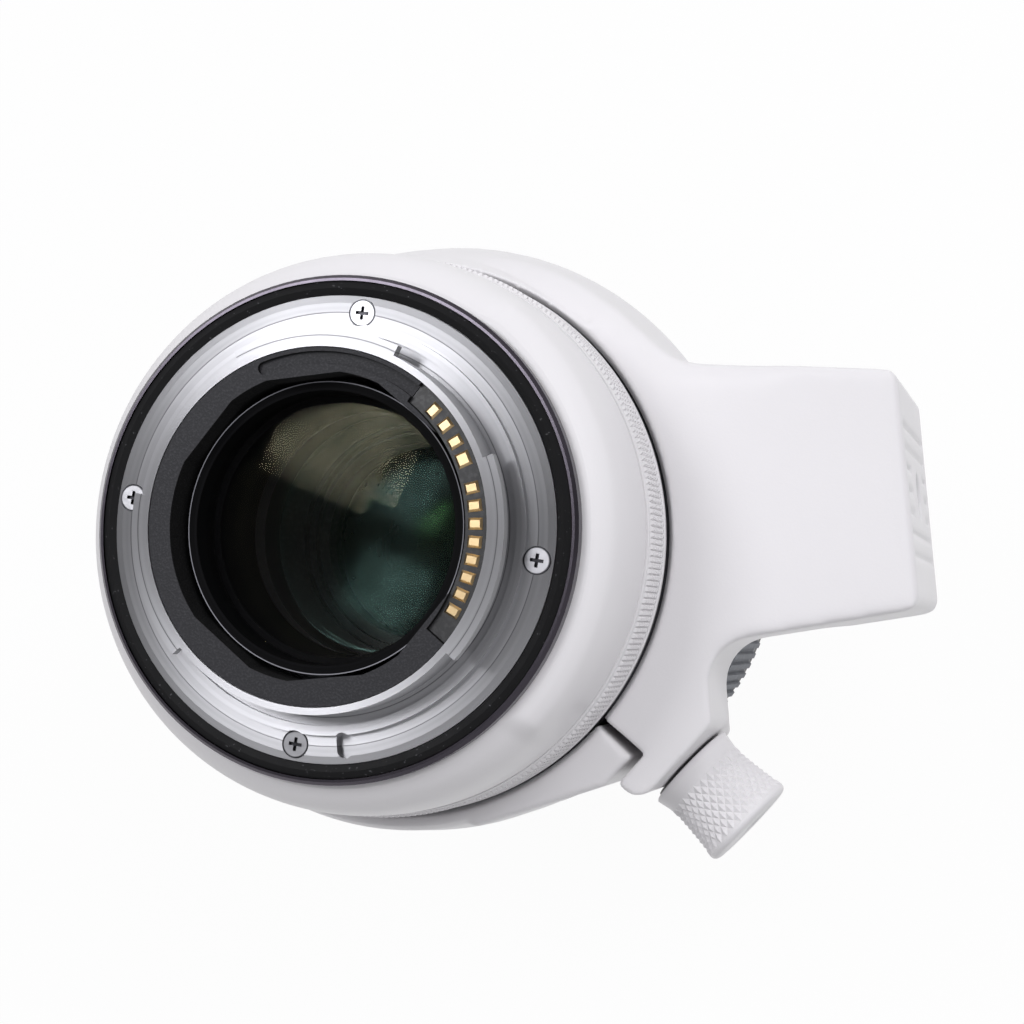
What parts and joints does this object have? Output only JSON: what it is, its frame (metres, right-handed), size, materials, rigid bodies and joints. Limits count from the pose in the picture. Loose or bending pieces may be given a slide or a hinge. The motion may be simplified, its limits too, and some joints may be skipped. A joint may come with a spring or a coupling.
{
  "type": "camera zoom lens",
  "caption": "White telephoto zoom lens with a bayonet mount, a turning tripod collar with foot and clamp knob, a control ring and ribbed grips, standing on its front rim.",
  "frame": {"origin": "centre of the flange face that seats on the camera", "axes": "+Z along the optical axis towards the camera, +X towards the foot of the tripod collar; the lens stands on its front rim"},
  "size_m": [0.1155, 0.0959, 0.1246],
  "materials": {
    "white_paint": "satin white paint",
    "mount_steel": "bright turned metal",
    "plain_steel": "plain steel",
    "black_plastic": "fine sand texture",
    "gold": "gold plated",
    "black_rubber": "soft, matt",
    "grey_rubber": "ribbed, matt",
    "trim_metal": "glossy dark anodised",
    "black_metal": "black anodised",
    "bare_metal": "satin",
    "coated_glass": "coated, clear",
    "felt": "flocked",
    "board_green": "lacquered",
    "copper": "wound wire"
  },
  "bodies": {
    "barrel": {"bayonet_mount": "mount_steel", "mount_screws": "plain_steel", "light_shroud": "black_plastic", "contact_block": "black_plastic", "contact_pins": "gold", "mount_seal": "black_rubber", "mount_trim_ring": "trim_metal", "rear_barrel": "white_paint", "mount_chassis": "bare_metal", "circuit_board": "board_green", "main_barrel": "bare_metal", "mid_cover": "white_paint", "switch_panel": "white_paint", "guide_barrel": "black_metal", "rear_cell": "black_metal", "rear_glass": "coated_glass", "focus_rods": "plain_steel", "focus_motor": "black_plastic", "stabiliser_frame": "black_plastic", "stabiliser_coils": "copper", "iris_housing": "black_metal", "iris_blades": "black_metal", "stop_ring": "white_paint", "nose_ring": "white_paint"},
    "control_ring": {"control_ring": "white_paint"},
    "collar": {"collar_body": "white_paint", "collar_lining": "felt", "hinge_pin": "plain_steel", "clamp_washer": "plain_steel"},
    "collar_jaw": {"collar_jaw": "white_paint", "jaw_lining": "felt"},
    "clamp_stud": {"clamp_stud": "plain_steel"},
    "clamp_knob": {"clamp_knob": "white_paint"},
    "zoom_ring": {"zoom_ring": "white_paint", "zoom_grip": "grey_rubber", "zoom_key": "plain_steel", "cam_barrel": "black_metal"},
    "front_barrel": {"front_barrel": "white_paint", "front_followers": "plain_steel", "front_rim": "black_plastic", "front_bezel": "black_plastic", "front_cell": "black_metal", "front_glass": "coated_glass"},
    "zoom_group": {"zoom_carrier": "black_metal", "zoom_glass": "coated_glass", "zoom_followers": "plain_steel"},
    "focus_ring": {"focus_ring": "white_paint", "focus_grip": "grey_rubber"},
    "focus_group": {"focus_carrier": "black_metal", "focus_glass": "coated_glass"},
    "stabiliser_yoke": {"stabiliser_yoke": "black_plastic"},
    "stabiliser_cell": {"stabiliser_cell": "black_plastic", "stabiliser_glass": "coated_glass"},
    "switch_1": {"switch_1": "black_plastic"},
    "switch_2": {"switch_2": "black_plastic"},
    "switch_3": {"switch_3": "black_plastic"},
    "switch_4": {"switch_4": "black_plastic"}
  },
  "joints": [
    {"name": "control_turn", "type": "hinge", "parent": "barrel", "child": "control_ring", "pos_m": [0, 0, -0.0229], "axis": [0, 0, 1], "continuous": true},
    {"name": "collar_turn", "type": "hinge", "parent": "barrel", "child": "collar", "pos_m": [0, 0, -0.0431], "axis": [0, 0, 1], "continuous": true},
    {"name": "jaw_swing", "type": "hinge", "parent": "collar", "child": "collar_jaw", "pos_m": [-0.02854, 0.03283, -0.0461], "axis": [0, 0, -1], "range_deg": [0, 60]},
    {"name": "knob_turn", "type": "hinge", "parent": "collar", "child": "clamp_knob", "pos_m": [0.04082, -0.04055, -0.043], "axis": [0.6691, -0.7431, 0], "range_deg": [0, 540]},
    {"name": "stud_slide", "type": "slide", "parent": "collar", "child": "clamp_stud", "axis": [-0.6691, 0.7431, 0], "range_m": [0, 0.0008]},
    {"name": "zoom_turn", "type": "hinge", "parent": "barrel", "child": "zoom_ring", "pos_m": [0, 0, -0.1005], "axis": [0, 0, 1], "range_deg": [0, 70]},
    {"name": "front_slide", "type": "slide", "parent": "barrel", "child": "front_barrel", "axis": [0, 0, -1], "range_m": [0, 0.034]},
    {"name": "zoom_group_slide", "type": "slide", "parent": "barrel", "child": "zoom_group", "axis": [0, 0, -1], "range_m": [0, 0.014]},
    {"name": "focus_turn", "type": "hinge", "parent": "barrel", "child": "focus_ring", "pos_m": [0, 0, -0.0834], "axis": [0, 0, 1], "continuous": true},
    {"name": "focus_slide", "type": "slide", "parent": "barrel", "child": "focus_group", "axis": [0, 0, -1], "range_m": [-0.0022, 0.006]},
    {"name": "stabiliser_x", "type": "slide", "parent": "barrel", "child": "stabiliser_yoke", "axis": [1, 0, 0], "range_m": [-0.0008, 0.0008], "stiffness_N_per_m": 200},
    {"name": "stabiliser_y", "type": "slide", "parent": "stabiliser_yoke", "child": "stabiliser_cell", "axis": [0, 1, 0], "range_m": [-0.0008, 0.0008], "stiffness_N_per_m": 200},
    {"name": "switch_1_slide", "type": "slide", "parent": "barrel", "child": "switch_1", "axis": [0, 0, -1], "range_m": [0, 0.003]},
    {"name": "switch_2_slide", "type": "slide", "parent": "barrel", "child": "switch_2", "axis": [0, 0, -1], "range_m": [0, 0.003]},
    {"name": "switch_3_slide", "type": "slide", "parent": "barrel", "child": "switch_3", "axis": [0, 0, -1], "range_m": [0, 0.003]},
    {"name": "switch_4_slide", "type": "slide", "parent": "barrel", "child": "switch_4", "axis": [0, 0, -1], "range_m": [0, 0.003]}
  ],
  "couplings": [
    {"joint": "front_slide", "follows": "zoom_turn", "m_per_rad": 0.027829},
    {"joint": "zoom_group_slide", "follows": "zoom_turn", "m_per_rad": 0.011459},
    {"joint": "stud_slide", "follows": "knob_turn", "m_per_rad": 0.000079577}
  ]
}
